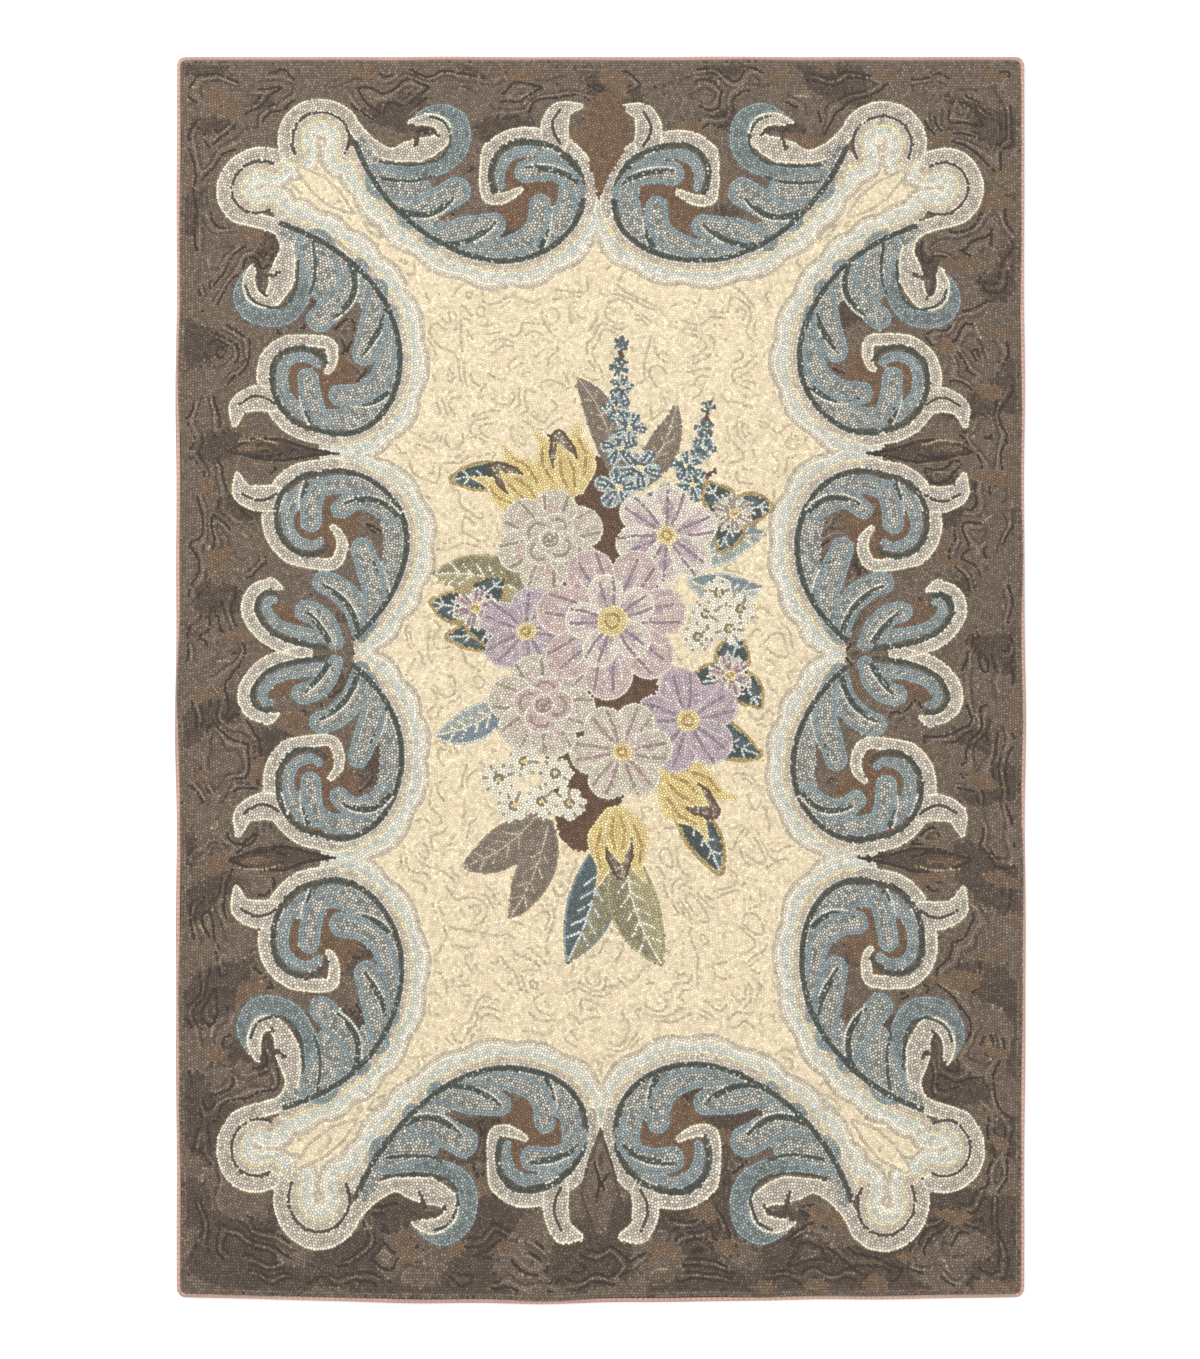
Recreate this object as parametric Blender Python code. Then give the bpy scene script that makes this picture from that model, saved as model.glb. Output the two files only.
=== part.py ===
"""A hooked rug: one flat, looped-pile fabric, bound round its edge with a folded cotton tape.

The rug lies on its back. The origin is on the surface it lies on, under its middle; +Y runs along its
length and +Z is up. Lengths are in metres.
"""

import math

import bmesh
import bpy
from mathutils import Matrix

# The whole rug, tape included.
WIDTH = 0.903
LENGTH = 1.322
THICKNESS = 0.0085
CORNER_RADIUS = 0.009

# The tape is folded up beside the pile, turned round the edge, and lies flat under the back.
TAPE_THICKNESS = 0.0012
TAPE_BACK_WIDTH = 0.032
TAPE_SHOWS = 0.0050
TAPE_FOLD_HEIGHT = 0.0042
TAPE_FOLD_ROUNDING = 0.0008

# The pile and its foundation.
PILE_EDGE_HEIGHT = 0.0060
PILE_EDGE_ROUNDING = 0.0022

GAP = 0.0004
POINTS_PER_SIDE = 22
POINTS_PER_CORNER = 5

# How far each side bows outwards in its middle, and the small waves along it besides:
# (waves in the side's length, height, phase).
SIDE_BOWS = {"right": 0.0010, "top": 0.0, "left": 0.0010, "bottom": 0.0060}
SIDE_WAVES = {
    "right": ((1, 0.0008, 0.0), (4, 0.0006, 1.9), (7, 0.0004, 0.3)),
    "top": ((3, 0.0002, 0.7), (6, 0.0002, 1.1)),
    "left": ((4, 0.0006, 0.9), (7, 0.0005, 2.6)),
    "bottom": ((1, 0.0020, 0.0), (5, 0.0005, 0.2), (7, 0.0004, 1.7)),
}


def wave(side, share):
    """How far out this side lies at a share of its length: nothing at its two corners."""
    waves = sum(a * math.sin(2 * math.pi * n * share + phase) for n, a, phase in SIDE_WAVES[side])
    return (SIDE_BOWS[side] + waves) * math.sin(math.pi * share)


def outline(inset):
    """The rug's outline, drawn in by inset, counter-clockwise from the foot of the right side."""
    half_x = WIDTH / 2 - inset
    half_y = LENGTH / 2 - inset
    radius = max(CORNER_RADIUS - inset, CORNER_RADIUS / 10)
    straight_x = half_x - radius
    straight_y = half_y - radius
    # For each side: its name, its first point, its direction and its outward direction.
    sides = (
        ("right", (half_x, -straight_y), (0, 1), (1, 0)),
        ("top", (straight_x, half_y), (-1, 0), (0, 1)),
        ("left", (-half_x, straight_y), (0, -1), (-1, 0)),
        ("bottom", (-straight_x, -half_y), (1, 0), (0, -1)),
    )
    points = []
    for name, first, along, out in sides:
        run = 2 * (straight_y if along[0] == 0 else straight_x)
        for i in range(POINTS_PER_SIDE + 1):
            share = i / POINTS_PER_SIDE
            lift = wave(name, share)
            points.append(tuple(f + a * run * share + o * lift for f, a, o in zip(first, along, out)))
        last_x = first[0] + along[0] * run
        last_y = first[1] + along[1] * run
        centre_x = last_x - out[0] * radius
        centre_y = last_y - out[1] * radius
        start = math.atan2(out[1], out[0])
        for i in range(1, POINTS_PER_CORNER):
            angle = start + math.pi / 2 * i / POINTS_PER_CORNER
            points.append((centre_x + radius * math.cos(angle), centre_y + radius * math.sin(angle)))
    return points


def closed_solid(name, section, material, ring):
    """A solid whose wall follows the outline. section lists (inset, height) from the bottom to the top.

    With ring True the section closes on itself, as a tape's does; otherwise its ends are capped.
    """
    mesh = bpy.data.meshes.new(name)
    built = bmesh.new()
    rows = [[built.verts.new((x, y, height)) for x, y in outline(inset)] for inset, height in section]
    pairs = list(zip(rows, rows[1:]))
    if ring:
        pairs.append((rows[-1], rows[0]))
    else:
        built.faces.new(list(reversed(rows[0])))
        built.faces.new(rows[-1])
    for low, high in pairs:
        for i in range(len(low)):
            j = (i + 1) % len(low)
            built.faces.new((low[i], low[j], high[j], high[i]))
    bmesh.ops.recalc_face_normals(built, faces=built.faces)
    bmesh.ops.triangulate(built, faces=[f for f in built.faces if len(f.verts) > 4])
    built.to_mesh(mesh)
    built.free()
    mesh.materials.append(material)
    made = bpy.data.objects.new(name, mesh)
    bpy.context.scene.collection.objects.link(made)
    return made


def cloth(name, colour, roughness):
    material = bpy.data.materials.new(name)
    material.use_nodes = True
    shader = material.node_tree.nodes["Principled BSDF"]
    shader.inputs["Base Color"].default_value = (*colour, 1)
    shader.inputs["Roughness"].default_value = roughness
    shader.inputs["Metallic"].default_value = 0
    return material


def hooked_rug():
    """The looped pile with its foundation. Its back steps up round the edge, where the tape lies."""
    edge = TAPE_SHOWS
    step = edge + TAPE_BACK_WIDTH + GAP
    step_height = TAPE_THICKNESS + GAP
    section = (
        (step, 0.0),
        (step, step_height),
        (edge, step_height),
        (edge, PILE_EDGE_HEIGHT),
        (edge + PILE_EDGE_ROUNDING, THICKNESS),
    )
    return closed_solid("hooked_rug", section, cloth("wool_pile", (0.36, 0.31, 0.25), 0.95), ring=False)


def binding_tape():
    """The cotton tape: its fold shows beside the pile, and its flat part lies under the rug's back."""
    inner = TAPE_SHOWS + TAPE_BACK_WIDTH
    beside_pile = TAPE_SHOWS - GAP
    section = (
        (inner, 0.0),
        (TAPE_FOLD_ROUNDING, 0.0),
        (0.0, TAPE_FOLD_ROUNDING),
        (0.0, TAPE_FOLD_HEIGHT - TAPE_FOLD_ROUNDING),
        (TAPE_FOLD_ROUNDING, TAPE_FOLD_HEIGHT),
        (beside_pile, TAPE_FOLD_HEIGHT),
        (beside_pile, TAPE_THICKNESS),
        (inner, TAPE_THICKNESS),
    )
    return closed_solid("binding_tape", section, cloth("pink_cotton", (0.50, 0.34, 0.27), 0.9), ring=True)


def put_origin_under_the_middle(whole, pieces):
    """The uneven sides leave the box a little off centre, so every piece moves by the same amount."""
    xs = [v.co.x for v in whole.data.vertices]
    ys = [v.co.y for v in whole.data.vertices]
    move = Matrix.Translation((-(min(xs) + max(xs)) / 2, -(min(ys) + max(ys)) / 2, 0))
    for piece in pieces:
        piece.data.transform(move)


def main():
    for old in list(bpy.data.objects):
        bpy.data.objects.remove(old)
    rug = hooked_rug()
    tape = binding_tape()
    put_origin_under_the_middle(tape, (rug, tape))


main()
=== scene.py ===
"""A hooked rug with a scrolled border and a spray of garden flowers, bound with pink tape.

The design is laid out flat in millimetres, from the rug's middle, as signed fields on a fine grid. Rows of
loops run along its outlines and echo them; every loop of the pile is a small dome of its own yarn colour,
with painted shade down at its foot.
"""

import math

import bpy
import numpy as np
from mathutils.geometry import delaunay_2d_cdt
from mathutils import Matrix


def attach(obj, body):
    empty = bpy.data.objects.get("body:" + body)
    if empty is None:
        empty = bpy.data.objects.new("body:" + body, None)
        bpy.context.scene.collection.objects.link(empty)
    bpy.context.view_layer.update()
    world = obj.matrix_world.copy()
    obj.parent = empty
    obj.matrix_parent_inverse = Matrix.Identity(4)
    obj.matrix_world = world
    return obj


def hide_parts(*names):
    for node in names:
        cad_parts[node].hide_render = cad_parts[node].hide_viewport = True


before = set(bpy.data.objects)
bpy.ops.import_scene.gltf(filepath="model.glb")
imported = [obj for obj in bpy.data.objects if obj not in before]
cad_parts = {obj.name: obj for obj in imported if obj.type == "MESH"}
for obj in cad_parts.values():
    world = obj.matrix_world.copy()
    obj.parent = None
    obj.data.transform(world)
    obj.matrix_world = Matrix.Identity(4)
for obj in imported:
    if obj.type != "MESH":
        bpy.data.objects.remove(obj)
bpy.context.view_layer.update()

MM = 0.001
rng = np.random.default_rng(7)

# ---- sizes, in millimetres ----
RUG_WIDTH, RUG_LENGTH = 903.0, 1322.0
TAPE_SHOWS = 5.0
PILE_INSET = 4.6  # the pile leans out over the tape
HALF_X = RUG_WIDTH / 2 - PILE_INSET
HALF_Y = RUG_LENGTH / 2 - PILE_INSET
PILE_CORNER = 7.0
ROW = 2.9  # from row to row
PITCH = 3.1  # from loop to loop along a row
CELL = 1.25  # grid for the design's fields
# How near two loops may come: on the design's own lines, in the rows between them, and in the gaps left over.
LINE_ROOM, ROW_ROOM, GAP_ROOMS = 2.05, 2.2, (2.5, 2.35)
# How far a loop strays from its line, and from its row, and how far a whole row does.
LINE_JITTER, ROW_JITTER, ROW_SHIFT = 0.3, 0.28, 0.2

# ---- the grid ----
NX = 2 * int(HALF_X / CELL) + 8
NY = 2 * int(HALF_Y / CELL) + 8
GRID_X = (np.arange(NX) - (NX - 1) / 2) * CELL
GRID_Y = (np.arange(NY) - (NY - 1) / 2) * CELL


def cell_of(points):
    i = np.clip(np.rint(points[:, 0] / CELL + (NX - 1) / 2).astype(int), 0, NX - 1)
    j = np.clip(np.rint(points[:, 1] / CELL + (NY - 1) / 2).astype(int), 0, NY - 1)
    return j, i


# ---- lines ----
def even(points, step, closed=False):
    """The line again, with points at equal steps."""
    p = np.asarray(points, float)
    if closed:
        p = np.vstack([p, p[:1]])
    run = np.concatenate([[0], np.cumsum(np.hypot(*np.diff(p, axis=0).T))])
    count = max(2, int(round(run[-1] / step)))
    at = np.linspace(0, run[-1], count + 1)
    if closed:
        at = at[:-1]
    return np.column_stack([np.interp(at, run, p[:, 0]), np.interp(at, run, p[:, 1])])


def curve(points, step=1.5):
    """A smooth curve through a few points."""
    p = np.asarray(points, float)
    if len(p) == 2:
        return even(p, step)
    p = np.vstack([2 * p[0] - p[1], p, 2 * p[-1] - p[-2]])
    t = np.linspace(0, 1, 13)[:-1, None]
    parts = []
    for a, b, c, d in zip(p, p[1:], p[2:], p[3:]):
        bend = (2 * a - 5 * b + 4 * c - d) * t**2 + (3 * b - a - 3 * c + d) * t**3
        parts.append(0.5 * (2 * b + (c - a) * t + bend))
    parts.append(p[-2:-1])
    return even(np.vstack(parts), step)


def arc(centre, radius, start, end, count=24):
    """Points round a centre, from start to end in degrees."""
    a = np.radians(np.linspace(start, end, count))
    return np.column_stack([centre[0] + radius * np.cos(a), centre[1] + radius * np.sin(a)])


def beside(points, by):
    """The line moved to its left by a distance, or by one distance for each point."""
    p = np.asarray(points, float)
    along = np.gradient(p, axis=0)
    along /= np.maximum(np.hypot(*along.T), 1e-9)[:, None]
    left = np.column_stack([-along[:, 1], along[:, 0]])
    return p + left * np.broadcast_to(by, len(p))[:, None]


def bent(base, tip, bend, count=15):
    """From base to tip, bowed to the left by bend."""
    base, tip = np.asarray(base, float), np.asarray(tip, float)
    t = np.linspace(0, 1, count)[:, None]
    run = tip - base
    left = np.array([-run[1], run[0]]) / max(np.hypot(*run), 1e-9)
    return base + run * t + left * bend * 4 * t * (1 - t)


# ---- signed fields: under 0 inside a shape ----
class Field:
    """A window of the grid, from its low to its high corner, with the field in it."""

    def __init__(self, low, high):
        (self.i0, self.i1), (self.j0, self.j1) = (
            (max(0, int(a / CELL + (n - 1) / 2)), min(n, int(b / CELL + (n - 1) / 2) + 2))
            for a, b, n in zip(low, high, (NX, NY))
        )
        self.x, self.y = np.meshgrid(GRID_X[self.i0 : self.i1], GRID_Y[self.j0 : self.j1])
        self.f = None


def nearest(x, y, line):
    """Distance to the line's nearest point, and which point that is."""
    best = np.full(x.shape, 1e9)
    which = np.zeros(x.shape, int)
    for k, (px, py) in enumerate(line):
        d = (x - px) ** 2 + (y - py) ** 2
        closer = d < best
        best[closer] = d[closer]
        which[closer] = k
    return np.sqrt(best), which


def stroke(points, widths, step=1.5):
    """A brush stroke along a smooth curve, with half-widths shared out evenly along it."""
    line = curve(points, step)
    half = np.interp(np.linspace(0, 1, len(line)), np.linspace(0, 1, len(widths)), widths)
    reach = max(widths) + 5
    shape = Field(line.min(0) - reach, line.max(0) + reach)
    d, which = nearest(shape.x, shape.y, line)
    shape.f = d - half[which]
    return shape


def spot(centre, radius):
    """A round shape."""
    return stroke([centre, (centre[0] + 1, centre[1])], (radius, radius))


def outline_field(points):
    """A closed outline's own signed field."""
    line = even(points, 1.5, closed=True)
    shape = Field(line.min(0) - 5, line.max(0) + 5)
    d, _ = nearest(shape.x, shape.y, line)
    inside = np.zeros(shape.x.shape, bool)
    for (ax, ay), (bx, by) in zip(line, np.roll(line, -1, axis=0)):
        if ay == by:
            continue
        crosses = (shape.y < ay) != (shape.y < by)
        inside ^= crosses & (shape.x < ax + (bx - ax) * (shape.y - ay) / (by - ay))
    shape.f = np.where(inside, -d, d)
    return shape


# ---- level lines of a field ----
def level_lines(f, level, x0=GRID_X[0], y0=GRID_Y[0]):
    """The lines where the field passes a level, each as an array of points."""
    over = f > level
    across = over[:, :-1] != over[:, 1:]
    up = over[:-1, :] != over[1:, :]
    a_id = np.full(across.shape, -1)
    u_id = np.full(up.shape, -1)
    aj, ai = np.nonzero(across)
    uj, ui = np.nonzero(up)
    count = len(aj)
    a_id[aj, ai] = np.arange(count)
    u_id[uj, ui] = count + np.arange(len(uj))
    if count + len(uj) == 0:
        return []
    at = (level - f[aj, ai]) / (f[aj, ai + 1] - f[aj, ai])
    ut = (level - f[uj, ui]) / (f[uj + 1, ui] - f[uj, ui])
    points = np.vstack([np.column_stack([ai + at, aj]), np.column_stack([ui, uj + ut])]) * CELL
    points += (x0, y0)
    sides = np.stack([a_id[:-1, :], a_id[1:, :], u_id[:, :-1], u_id[:, 1:]], axis=-1).reshape(-1, 4)
    used = (sides >= 0).sum(1)
    two = np.sort(sides[used == 2], axis=1)[:, 2:]
    four = sides[used == 4]
    pairs = np.vstack([two, four[:, [0, 2]], four[:, [1, 3]]])
    both = np.vstack([pairs, pairs[:, ::-1]])
    both = both[np.argsort(both[:, 0], kind="stable")]
    link = np.full((len(points), 2), -1)
    first = np.concatenate([[True], both[1:, 0] != both[:-1, 0]])
    link[both[first, 0], 0] = both[first, 1]
    link[both[~first, 0], 1] = both[~first, 1]
    link = link.tolist()
    seen = bytearray(len(points))
    starts = [k for k, (a, b) in enumerate(link) if b < 0] + list(range(len(points)))
    lines = []
    for start in starts:
        if seen[start]:
            continue
        seen[start] = 1
        walk = [start]
        here = start
        while True:
            a, b = link[here]
            here = a if a >= 0 and not seen[a] else b if b >= 0 and not seen[b] else -1
            if here < 0:
                break
            seen[here] = 1
            walk.append(here)
        if len(walk) > 2:
            if start in link[walk[-1]]:
                walk.append(start)
            lines.append(points[walk])
    return lines


def smooth_noise(size, seed, spread=0.45, stretch=1.0):
    """Crossed waves: soft blotches about this many millimetres across, stretched along x, from -2 to 2."""
    draw = np.random.default_rng(seed)
    x, y = GRID_X.astype(np.float32), GRID_Y.astype(np.float32)
    total = np.zeros((NY, NX), np.float32)
    count = 20
    for _ in range(count):
        heading = draw.uniform(0, 2 * np.pi)
        pace = 2 * np.pi / (2.0 * size) * np.exp(draw.uniform(-spread, spread * 1.4))
        phase = draw.uniform(0, 2 * np.pi)
        ax = np.exp(1j * pace * np.cos(heading) * x / stretch)[None, :]
        ay = np.exp(1j * (pace * np.sin(heading) * y + phase))[:, None]
        total += (ax * ay).real.astype(np.float32)
    return total * np.sqrt(2.0 / count)


# ---- yarns: for each family, its yarns and the colours of a yarn's loops (sRGB, 0 to 255) ----
YARNS = {
    "ground": {
        "ground": [(130, 113, 98), (118, 102, 88), (140, 124, 108), (108, 93, 80)],
        "ground_dark": [(98, 84, 73), (86, 73, 63), (110, 95, 83)],
        "ground_light": [(150, 134, 117), (142, 126, 110)],
        "ground_line": [(78, 66, 57), (68, 57, 49)],
        "ground_rust": [(142, 116, 92), (128, 102, 78), (120, 104, 88)],
        "ground_tan": [(182, 156, 124), (164, 142, 116)],
        "rust": [(128, 102, 80), (116, 90, 70), (138, 112, 90)],
    },
    "field": {
        "field": [(218, 202, 171), (212, 196, 165), (224, 209, 179)],
        "field_line": [(188, 175, 147), (178, 166, 139)],
    },
    "pale": {
        "cream_edge": [(238, 228, 202), (230, 220, 194), (244, 236, 210)],
        "pale_tweed": [(236, 226, 208), (228, 217, 199), (212, 200, 184), (186, 174, 158)],
        "pink_tweed": [(222, 210, 190), (206, 194, 176), (230, 218, 198), (188, 176, 160)],
        "yellow_line": [(236, 222, 182), (228, 212, 170)],
        "sky": [(224, 220, 202), (212, 210, 196), (238, 230, 208)],
        "sky_blue": [(206, 210, 200), (194, 202, 196), (226, 224, 208)],
        "white_line": [(246, 240, 220), (240, 232, 210)],
        "lavender": [(222, 210, 192), (210, 198, 180), (230, 220, 200)],
        "gray_line": [(204, 192, 170), (194, 182, 160)],
        "thin_dark": [(96, 84, 72), (84, 73, 63)],
    },
    "blue": {
        "blue": [(150, 160, 158), (134, 144, 142), (166, 175, 171), (112, 120, 116)],
        "blue_edge": [(156, 169, 170), (144, 157, 158), (168, 180, 180)],
        "blue_tweed": [(226, 219, 203), (212, 208, 194), (188, 188, 178), (142, 148, 143)],
        "teal": [(88, 94, 86), (78, 84, 77), (98, 104, 95)],
        "vein_white": [(232, 230, 214), (222, 220, 205)],
    },
    "bouquet": {
        "stem": [(122, 96, 78), (108, 84, 68)],
        "pink": [(220, 194, 188), (210, 184, 180), (228, 206, 196)],
        "pink_light": [(240, 228, 214), (232, 218, 206)],
        "mauve": [(200, 182, 188), (190, 171, 178), (208, 192, 194)],
        "mauve_light": [(224, 212, 208), (216, 204, 202)],
        "mauve_dark": [(166, 146, 152), (154, 134, 140)],
        "yolk": [(238, 214, 156), (228, 202, 140), (246, 226, 174)],
        "gold": [(242, 218, 156), (234, 206, 138)],
        "gold_light": [(250, 232, 180), (244, 224, 168)],
        "gold_dark": [(196, 166, 112), (182, 152, 100)],
        "throat": [(140, 124, 106), (104, 88, 74), (206, 194, 172)],
        "bell": [(142, 156, 160), (130, 144, 148), (154, 168, 170)],
        "bell_light": [(222, 224, 214), (202, 208, 202)],
        "bell_dark": [(106, 118, 120), (96, 108, 110)],
        "green": [(158, 150, 118), (144, 136, 106), (172, 166, 134)],
        "olive": [(194, 184, 144), (180, 170, 130)],
        "brown_leaf": [(150, 134, 120), (136, 120, 107), (162, 148, 132)],
        "brown_vein": [(198, 184, 162), (186, 172, 150)],
        "dark_teal": [(92, 100, 96), (80, 90, 86)],
        "rose": [(222, 210, 190), (208, 196, 178), (232, 222, 202)],
        "rose_edge": [(244, 236, 214), (236, 227, 204)],
        "rose_line": [(176, 160, 142), (164, 148, 130)],
        "white": [(250, 242, 220), (244, 235, 210)],
        "shade": [(150, 136, 120), (136, 122, 108)],
        "mist": [(182, 186, 176), (166, 173, 165), (198, 200, 188)],
    },
}
# Painted shade down between the loops: how dark it is there, as a share of the yarn's own colour.
GAP_PAINTED_SHADE = {"ground": 0.60, "field": 0.84, "pale": 0.66, "blue": 0.52, "bouquet": 0.58}
# Tweeds get deeper painted shade between their loops.
TWEED_PAINTED_SHADE = {"pale_tweed": 0.50, "pink_tweed": 0.62, "blue_tweed": 0.38}
TONES = {name: np.array(tones, float) for yarns in YARNS.values() for name, tones in yarns.items()}
FAMILIES = list(YARNS)
FAMILY_OF = {name: family for family, yarns in YARNS.items() for name in yarns}
ID = {name: k for k, name in enumerate(TONES)}

ink = np.zeros((NY, NX), int)  # the yarn at each place
top = np.zeros((NY, NX), int)  # the number of the shape that lies on top there
rows = []  # (points, yarn, number of the last shape drawn before it)
state = {"order": 0}

ONE = ((1, 1),)
FOUR = ((-1, 1), (1, 1), (-1, -1), (1, -1))


def line(points, yarn, copies=ONE):
    """One row of loops in each copy, over the shapes drawn so far."""
    p = np.asarray(points, float)
    for sx, sy in copies:
        rows.append((p * (sx, sy), ID[yarn], state["order"]))


def paint(shape, fill, edges=(), copies=ONE):
    """Lays a shape on the design in each copy. edges are the yarns of its outermost rows."""
    state["order"] += 1
    inside = shape.f < 0
    for sx, sy in copies:
        i, j = slice(shape.i0, shape.i1), slice(shape.j0, shape.j1)
        flip = inside
        if sx < 0:
            i = slice(NX - shape.i1, NX - shape.i0)
            flip = flip[:, ::-1]
        if sy < 0:
            j = slice(NY - shape.j1, NY - shape.j0)
            flip = flip[::-1, :]
        ink[j, i][flip] = ID[fill]
        top[j, i][flip] = state["order"]
    for n, yarn in enumerate(edges):
        for points in level_lines(shape.f, -ROW * (n + 0.5), shape.x[0, 0], shape.y[0, 0]):
            line(points, yarn, copies)


# ---- scrolls: each drawn in its own frame, from its volute's middle ----
# +x runs towards its neighbour's cusp and +y towards the rug's edge. The spine gives the leaf's dark back;
# wrap_end carries the pale band on round the volute's end; body and ring are the half-widths of the strokes
# that lie inside the back; the tongues and lobes are brush strokes, as points and half-widths; the veins are
# bowed lines, as their two ends and the bow.
WRAP = 14.0
BACK = 2 * ROW  # the dark back is two rows wide

SCROLLS = {
    "short": {
        "centre": (-65, 506), "x_to": (1, 0), "y_to": (0, 1),
        "spine": {"radius": 50, "slope": 5, "growth": 1.03, "reach": 3.42, "bulge": 0.25, "curl": 176},
        "wrap_end": [(-54, 3), (-41, -3), (-27, 1), (-19, 5)],
        "lift": (-2, 6), "tail_lift": (2, 5),
        "body": (6, 9, 11, 11, 12, 12, 10),
        "ring": (12, 12, 11, 8, 5, 5, 6.5, 6.5, 4.5),
        "tongues": [([(44, 1), (30, 17), (10, 25), (-12, 24)], (8, 11, 12.5, 12.5))],
        "lobes": [
            ([(-166, 14), (-140, 9), (-127, 7)], (19, 17, 15)),
            ([(-138, -24), (-110, -8), (-86, 6)], (12, 15, 15.5)),
            ([(-112, -46), (-80, -35), (-46, -30)], (11, 14, 13)),
            ([(-80, -58), (-40, -55), (-10, -45), (2, -28), (3, -12)], (7, 9, 12, 13, 12.5)),
        ],
        "veins": [((-147, -17), (-90, -2), -12), ((-106, -52), (-46, -29), -8), ((7, -56), (13, -14), -3)],
        "tongue_veins": [((44, 12), (-12, 28), -5)],
    },
    "long": {
        "centre": (-298, 294), "x_to": (0, -1), "y_to": (-1, 0),
        "spine": {"radius": 47, "slope": 19, "growth": 0.61, "reach": 3.36, "bulge": 0.2, "curl": 194},
        "wrap_end": [(-53, -7), (-40, -13), (-27, -12), (-21, -8)],
        "lift": (2, -6), "tail_lift": (-1, 0),
        "body": (6, 10, 12, 12, 13, 13, 11),
        "ring": (13, 12, 11, 9, 6.5, 6.5, 6.5, 6, 5),
        "tongues": [([(37, -6), (22, 3), (6, 9), (-12, 12)], (8, 11, 12, 11.5))],
        "lobes": [
            ([(-156, 4), (-130, -4), (-112, -7)], (21, 19, 17)),
            ([(-134, -40), (-106, -26), (-78, 1)], (11, 14, 14)),
            ([(-112, -60), (-75, -54), (-43, -47)], (11, 14, 14)),
            ([(-88, -74), (-50, -73), (-16, -64), (1, -44), (5, -22)], (7, 9, 12, 12.5, 12.5)),
        ],
        "veins": [((-138, -34), (-82, -15), -12), ((-95, -72), (-42, -45), -4), ((0, -73), (11, -26), -8)],
        "tongue_veins": [((38, 8), (2, 17), -3)],
    },
    "middle": {
        "centre": (-297, 153), "x_to": (0, 1), "y_to": (-1, 0),
        "spine": {"radius": 48, "slope": 21, "growth": 0.52, "reach": 2.88, "bulge": 0.06, "curl": 190},
        "wrap_end": [(-54, -8), (-41, -19), (-25, -19), (-13, -11)],
        "lift": (0, 0), "tail_lift": (4, -1),
        "body": (4, 8, 10, 12, 12, 11, 10),
        "ring": (11, 11, 11, 10, 9, 7, 6.5, 6.5, 5),
        "tongues": [
            ([(-3, -71), (13, -55), (18, -36), (7, -20)], (8, 12, 12, 11)),
            ([(30, 3), (11, 10), (-7, 11.5)], (10, 11.5, 11.5)),
        ],
        "lobes": [
            ([(-142, -17), (-123, -7), (-110, 6), (-105, 18)], (9, 12, 13, 12.5)),
            ([(-134, -44), (-102, -36), (-81, -17), (-73, -1)], (9, 13, 14, 13)),
            ([(-123, -51), (-91, -57), (-57, -48), (-37, -41)], (9, 13, 14, 12.5)),
        ],
        "veins": [((-140, -11), (-108, 14), -2), ((-128, -42), (-77, -1), -8), ((-90, -70), (-43, -51), -3)],
        "tongue_veins": [((2, -78), (14, -25), -12), ((36, 15), (5, 20), -2)],
    },
}

# The curled tip of a corner scroll, before its lift: a blue hook round a pale inner leaf.
HOOK = (
    [(-176, 26), (-148, 20), (-122, 20), (-100, 27), (-83, 41), (-78, 60), (-84, 78), (-101, 88), (-119, 85),
     (-132, 77)],
    (6, 7, 7.5, 8.5, 10, 10.5, 10, 8, 6.5, 4),
)
HOOK_VEIN = [
    (-195, 48), (-178, 33), (-148, 28), (-126, 28), (-103, 34), (-91, 48), (-92, 64), (-100, 76), (-113, 81)
]
UNDER_HOOK = [(-164, 12), (-145, 10), (-125, 11), (-108, 16)]
INNER_LEAF = (
    [(-180, 50), (-158, 39), (-136, 42), (-114, 47), (-100, 55), (-97, 66), (-105, 75), (-120, 78),
     (-134, 74)],
    (8, 7.5, 11.5, 14, 10.5, 8.5, 8, 7.5, 5),
)
NOTCHES = [
    ([(-146, 69), (-126, 67), (-111, 66), (-103, 59)], (7, 3.6, 2.6, 1.6)),
    ([(-127, 65), (-127, 54), (-131, 46)], (3, 2.4, 1.5)),
]
# The flare that stands up off the wrap, and its dark vein.
TAIL = ([(15, 50), (15, 68), (22, 84), (41, 90)], (15, 14.5, 11.5, 4))
TAIL_VEIN = [(20, 47), (14, 58), (13, 70), (20, 84)]
# The two round lobes of a corner's neck: middle, radius, and where the pale band runs round each, in degrees.
NECK = {"short": ((-301, 566), 31.0, (200, 20)), "long": ((-365, 516), 28.0, (62, 242))}


def placed(points, name, lift=(0, 0)):
    """Points of a scroll's own frame in the rug's."""
    scroll = SCROLLS[name]
    p = np.atleast_2d(np.asarray(points, float)) + lift
    return scroll["centre"] + p[:, :1] * scroll["x_to"] + p[:, 1:] * scroll["y_to"]


def scroll_back(radius, slope, growth, reach, bulge, curl):
    """The leaf's dark back in two parts: round the belly from its base, and over the volute to its end."""
    turn = np.linspace(reach, 0, 90)
    r = radius + slope * turn + growth * turn**4
    belly = np.column_stack([r * np.cos(turn), -r * np.sin(turn)])
    # The volute bulges near 130 degrees, and closes in just before its end.
    a = np.linspace(0, curl, 60)
    r = radius * (1 + bulge * np.exp(-(((a - 130) / 38) ** 2)) - 0.25 * (a / 188) ** 10)
    volute = np.column_stack([r * np.cos(np.radians(a)), r * np.sin(np.radians(a))])
    return even(belly, 1.5), even(volute, 1.5)


BACKS = {name: scroll_back(**scroll["spine"]) for name, scroll in SCROLLS.items()}


def vein(start, end, bend, name):
    """Two dark rows and a white one beside them."""
    run = curve(bent(start, end, bend))
    line(placed(run, name), "teal", FOUR)
    line(placed(beside(run[: int(len(run) * 0.8)], ROW), name), "teal", FOUR)
    line(placed(beside(run, -ROW), name), "vein_white", FOUR)


def dark_rows(run, name, to_left):
    """Two dark rows: one along the line and one beside it."""
    line(placed(run, name), "teal", FOUR)
    line(placed(beside(run, to_left), name), "teal", FOUR)


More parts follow.
